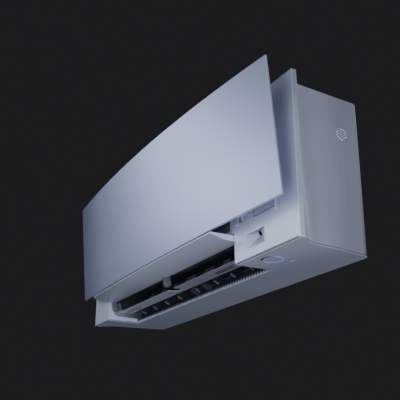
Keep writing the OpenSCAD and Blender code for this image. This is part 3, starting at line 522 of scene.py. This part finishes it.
LOOK = {
    "mounting_plate": "zinc", "rear_chassis": "chassis", "fan_scroll": "scroll", "duct_end_left": "duct_end", "duct_end_right": "duct_end",
    "drain_pan": "chassis", "evaporator_front": "coil", "evaporator_rear": "coil", "evaporator_tubes": "copper",
    "refrigerant_pipes": "copper", "flare_nuts": "brass", "cross_flow_fan": "fan", "fan_shaft": "shaft", "fan_bearing": "rubber",
    "fan_motor": "zinc", "motor_clamp": "chassis", "electrical_box": "box", "electrical_box_cover": "zinc", "circuit_board": "board",
    "terminal_block": "box", "front_frame": "frame", "side_cover_left": "side", "side_cover_right": "side",
    "intake_grille": "silver", "bottom_cover": "bottom", "service_cover": "service", "sensor_bezel": "recess", "sensor_lens": "lens",
    "indicator_ring": "ring", "indicator_disc": "disc", "indicator_board": "indicator", "side_vent": "vent", "manual_button": "silver",
    "front_panel": "panel", "panel_hinge_pins": "zinc", "panel_hangers": "zinc", "panel_arms": "nylon", "upper_arms": "nylon",
    "panel_pinions": "nylon", "panel_motors": "zinc", "panel_guides": "guide", "main_flap": "flap", "flap_pins": "pin",
    "flap_support": "black", "flap_motors": "zinc", "guide_vane": "vane", "louvre_links": "louvre", "louvre_motors": "zinc",
    "filter_left": "weave", "filter_right": "weave", "purifying_filters": "paper", "case_screws": "zinc",
}
for k in range(1, 9):
    LOOK["louvre_%d" % k] = "louvre_face"
# width of the rounded edges in mm; nodes that aren't listed keep their CAD edges
EDGE = {
    "front_frame": 0.9, "side_cover_left": 0.5, "side_cover_right": 0.5, "bottom_cover": 0.35, "service_cover": 0.35,
    "sensor_bezel": 0.25, "indicator_disc": 0.35, "indicator_ring": 0.3, "side_vent": 0.12, "guide_vane": 0.35, "intake_grille": 0.5,
    "manual_button": 0.4, "panel_hangers": 0.4, "panel_arms": 0.3, "upper_arms": 0.4, "mounting_plate": 0.3, "rear_chassis": 0.5,
    "duct_end_left": 0.4, "duct_end_right": 0.4, "fan_scroll": 0.3, "drain_pan": 0.4, "flap_support": 0.5, "flap_pins": 0.35,
    "electrical_box": 0.6, "electrical_box_cover": 0.3, "terminal_block": 0.3, "circuit_board": 0.2, "motor_clamp": 0.4,
    "fan_motor": 1.2, "louvre_links": 0.3, "filter_left": 0.3, "filter_right": 0.3, "purifying_filters": 0.3, "case_screws": 0.3,
    "panel_guides": 0.3, "panel_motors": 0.4, "flap_motors": 0.4, "louvre_motors": 0.4, "flare_nuts": 0.5, "panel_hinge_pins": 0.3,
}
for k in range(1, 9):
    EDGE["louvre_%d" % k] = 0.35


def round_edges(o, width, angle=28.0, segs=2):
    me = o.data
    if me.has_custom_normals:
        with bpy.context.temp_override(object=o, active_object=o, selected_objects=[o], selected_editable_objects=[o]):
            bpy.ops.mesh.customdata_custom_splitnormals_clear()
    me.polygons.foreach_set("use_smooth", [True] * len(me.polygons))
    w = o.modifiers.new("join", "WELD")
    w.merge_threshold = 0.00001
    d = o.modifiers.new("flat", "DECIMATE")
    d.decimate_type = "DISSOLVE"
    d.angle_limit = rad(0.4)
    b = o.modifiers.new("edge", "BEVEL")
    b.width = width / 1000
    b.segments = segs
    b.limit_method = "ANGLE"
    b.angle_limit = rad(angle)
    b.harden_normals = True
    b.use_clamp_overlap = True


for name, o in N.items():
    o.data.materials.clear()
    o.data.materials.append(M[LOOK[name]])
    if name in EDGE:
        round_edges(o, EDGE[name])


# ------------------------------------------------------------------ pieces made in more detail than the CAD
def obj(name, bm, mat, body, slot, *nodes):
    me = bpy.data.meshes.new(name)
    bm.normal_update()
    bm.to_mesh(me)
    bm.free()
    o = bpy.data.objects.new(name, me)
    bpy.context.scene.collection.objects.link(o)
    me.materials.append(mat)
    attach(o, body)
    if nodes:
        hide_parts(*nodes)
    return o


def mm(x, y, z):
    """Case millimetres, with z from the bottom of the case, to the frame's metres."""
    return Vector((x / 1000, y / 1000, (z - 150) / 1000))


def bevel(o, width, segs=3, angle=25.0):
    o.data.polygons.foreach_set("use_smooth", [True] * len(o.data.polygons))
    b = o.modifiers.new("edge", "BEVEL")
    b.width = width / 1000
    b.segments = segs
    b.limit_method = "ANGLE"
    b.angle_limit = rad(angle)
    b.harden_normals = True
    return b


# front panel: one bowed sheet with a bevelled rim and a stiffening lip round its back
W, PH, PT, BT, BB, LEAN, PX, PZ = 450.0, 251.0, 4.0, 22.9, 9.0, 5.03, 213.0, 66.0


def pface(x, t, o):
    b = (BB + (BT - BB) * t) * (1 - (x / W) ** 2)
    return mm(x, -PX - PH * t * math.sin(rad(LEAN)) - b + o, PZ + PH * t * math.cos(rad(LEAN)))


def panel():
    bm = bmesh.new()
    nx, nt = 96, 20

    def sheet(inset, off):
        it = inset / PH
        g = []
        for i in range(nx + 1):
            x = -W + inset + (2 * W - 2 * inset) * i / nx
            g.append([bm.verts.new(pface(x, it + (1 - 2 * it) * j / nt, off)) for j in range(nt + 1)])
        return g

    def rim(g):
        return ([g[i][0] for i in range(nx)] + [g[nx][j] for j in range(nt)]
                + [g[i][nt] for i in range(nx, 0, -1)] + [g[0][j] for j in range(nt, 0, -1)])

    face, mid, back, well = sheet(0.7, 0.0), sheet(0.0, 0.7), sheet(0.0, PT), sheet(6.0, PT)
    floor = sheet(7.0, PT - 1.2)
    for g, up in ((face, False), (floor, True)):
        for i in range(nx):
            for j in range(nt):
                q = [g[i][j], g[i + 1][j], g[i + 1][j + 1], g[i][j + 1]]
                bm.faces.new(q[::-1] if up else q)
    for g in (mid, back, well):
        keep = set(rim(g))
        for row in g:
            for x in row:
                if x not in keep:
                    bm.verts.remove(x)
    rings = [rim(g) for g in (face, mid, back, well, floor)]
    for a, b in zip(rings, rings[1:]):
        k = len(a)
        for i in range(k):
            bm.faces.new([a[i], b[i], b[(i + 1) % k], a[(i + 1) % k]])
    bmesh.ops.recalc_face_normals(bm, faces=bm.faces)
    return obj("front_panel_sheet", bm, M["panel"], "front_panel", "panel_face", "front_panel")


bevel(panel(), 0.2, 2, 20)


# main flap: a smooth blade, with its end caps, arms and hubs
def tip(x):
    return -233.0 + 7.5 * ((x - 20) / 370) ** 2


UNDER = [(-236, 55.6), (-228, 53), (-216, 49.4), (-204, 47), (-192, 45.6), (-178, 45), (-169, 45), (-163, 47.5), (-160, 51)]


def under(y):
    """Height of the flap's underside: a smooth curve through the section's points."""
    p = UNDER
    for k in range(len(p) - 1):
        if y <= p[k + 1][0] or k == len(p) - 2:
            break
    a, b = p[k], p[k + 1]
    h = b[0] - a[0]
    s = (b[1] - a[1]) / h
    s0 = s if k == 0 else ((a[1] - p[k - 1][1]) / (a[0] - p[k - 1][0]) + s) / 2
    s1 = s if k == len(p) - 2 else ((p[k + 2][1] - b[1]) / (p[k + 2][0] - b[0]) + s) / 2
    u = (y - a[0]) / h
    return ((2 * u ** 3 - 3 * u * u + 1) * a[1] + (u ** 3 - 2 * u * u + u) * h * s0
            + (-2 * u ** 3 + 3 * u * u) * b[1] + (u ** 3 - u * u) * h * s1)


def flap():
    bm = bmesh.new()
    nx, ny = 90, 30
    rows = []
    for i in range(nx + 1):
        x = -352.8 + 602.8 * i / nx
        t = tip(x)
        ys = [t + (-160.4 - t) * j / ny for j in range(ny + 1)]
        rows.append([bm.verts.new(mm(x, y, max(45.0, under(y)))) for y in ys] + [bm.verts.new(mm(x, y, 57.0)) for y in reversed(ys)])
    k = len(rows[0])
    for a, b in zip(rows, rows[1:]):
        for j in range(k):
            bm.faces.new([a[j], a[(j + 1) % k], b[(j + 1) % k], b[j]])
    bm.faces.new(rows[0][::-1])
    bm.faces.new(rows[-1])
    bmesh.ops.recalc_face_normals(bm, faces=bm.faces)
    return obj("flap_blade", bm, M["flap"], "main_flap", "flap_face", "main_flap")


bevel(flap(), 0.7, 3, 32)


def prism(name, x0, x1, pts, mat, body, slot, width=0.5):
    bm = bmesh.new()
    a = [bm.verts.new(mm(x0, y, z)) for y, z in pts]
    b = [bm.verts.new(mm(x1, y, z)) for y, z in pts]
    bm.faces.new(a)
    bm.faces.new(b[::-1])
    for i in range(len(pts)):
        j = (i + 1) % len(pts)
        bm.faces.new([a[i], b[i], b[j], a[j]])
    bmesh.ops.recalc_face_normals(bm, faces=bm.faces)
    o = obj(name, bm, mat, body, slot)
    bevel(o, width, 3, 25)
    return o


def lathe(name, axis_yz, prof, mat, body, slot, width=0.0, n=48):
    """Turned piece about an axis along x; prof is a closed loop of (x, r)."""
    bm = bmesh.new()
    rings = []
    for k in range(n):
        c, s = math.cos(2 * math.pi * k / n), math.sin(2 * math.pi * k / n)
        rings.append([bm.verts.new(mm(x, axis_yz[0] + q * c, axis_yz[1] + q * s)) for x, q in prof])
    for k in range(n):
        a, b = rings[k], rings[(k + 1) % n]
        for i in range(len(prof)):
            j = (i + 1) % len(prof)
            if prof[i][1] == 0 and prof[j][1] == 0:
                continue
            bm.faces.new([a[i], a[j], b[j], b[i]])
    bmesh.ops.remove_doubles(bm, verts=bm.verts, dist=1e-7)
    bmesh.ops.recalc_face_normals(bm, faces=bm.faces)
    o = obj(name, bm, mat, body, slot)
    if width:
        bevel(o, width, 3, 30)
    return o


HY, HZ = -167.0, 31.0
for k, (a, b) in enumerate(((-352.8, -346.5), (-57.0, -45.0), (243.5, 250.0))):
    prism("flap_arm_%d" % (k + 1), a, b,
          [(HY - 7.5, HZ + 1.2), (HY - 3.4, HZ + 4.6), (HY + 3.4, HZ + 4.6), (HY + 7.3, HZ + 1.8), (-163.8, 47.0), (-164.6, 51.0), (-175.2, 51.0), (-176, 47.6)],
          M["hub"], "main_flap", "flap_face", 0.5)
    lathe("flap_hub_%d" % (k + 1), (HY, HZ), [(a, 3.06), (a, 6.2), (a + 0.7, 7.6), (b - 0.7, 7.6), (b, 6.2), (b, 3.06)],
          M["hub"], "main_flap", "flap_face")

# ------------------------------------------------------------------ floor and light
def plane(name, size, loc, mat):
    bm = bmesh.new()
    bmesh.ops.create_grid(bm, x_segments=1, y_segments=1, size=size / 2)
    me = bpy.data.meshes.new(name)
    bm.to_mesh(me)
    bm.free()
    o = bpy.data.objects.new(name, me)
    o.location = loc
    bpy.context.scene.collection.objects.link(o)
    me.materials.append(mat)
    return o


n = Net("floor_pale")
f1 = n.noise(1.2, 4.0)
n.link(n.mix(n.rng(f1, 0.3, 0.7, 0, 1), (0.55, 0.55, 0.55), (0.60, 0.60, 0.60)), n.b.inputs["Base Color"])
n.b.inputs["Roughness"].default_value = 0.9
plane("floor", 14.0, (0, 0, -1.9), n.mat)


def area(name, loc, target, size, power, col=(1, 1, 1)):
    d = bpy.data.lights.new(name, "AREA")
    d.shape = "RECTANGLE"
    d.size, d.size_y = size
    d.energy = power
    d.color = col
    o = bpy.data.objects.new(name, d)
    bpy.context.scene.collection.objects.link(o)
    o.location = loc
    o.rotation_mode = "QUATERNION"
    o.rotation_quaternion = (Vector(target) - Vector(loc)).to_track_quat("-Z", "Y")
    return o


WHITE = (0.965, 0.985, 1.085)
area("key_soft", (-1.55, -1.75, 0.65), (0.1, -0.15, 0.0), (1.3, 1.3), 2.6, WHITE)
area("key", (-1.50, -1.60, 0.60), (0.1, -0.15, 0.0), (0.7, 0.7), 2.9, WHITE)
area("front_low", (1.1, -1.6, -0.45), (0.3, -0.15, 0.0), (0.8, 0.8), 6.3, WHITE)
area("below", (0.8, -1.2, -1.0), (0.3, -0.15, -0.1), (0.7, 0.7), 7.8, WHITE)
area("front", (0.5, -2.0, -0.2), (0.2, -0.15, 0.0), (1.2, 1.2), 5.6, WHITE)
area("side", (2.4, -0.9, -0.2), (0.4, -0.1, 0.0), (1.4, 1.4), 34.0, WHITE)
area("back", (0.0, 2.6, 1.6), (0.0, 0.0, 0.0), (2.4, 1.6), 14, WHITE)

world = bpy.data.worlds.new("studio")
bpy.context.scene.world = world
world.use_nodes = True
bg = world.node_tree.nodes["Background"]
bg.inputs["Color"].default_value = (0.0155, 0.0155, 0.0168, 1)
bg.inputs["Strength"].default_value = 1.0
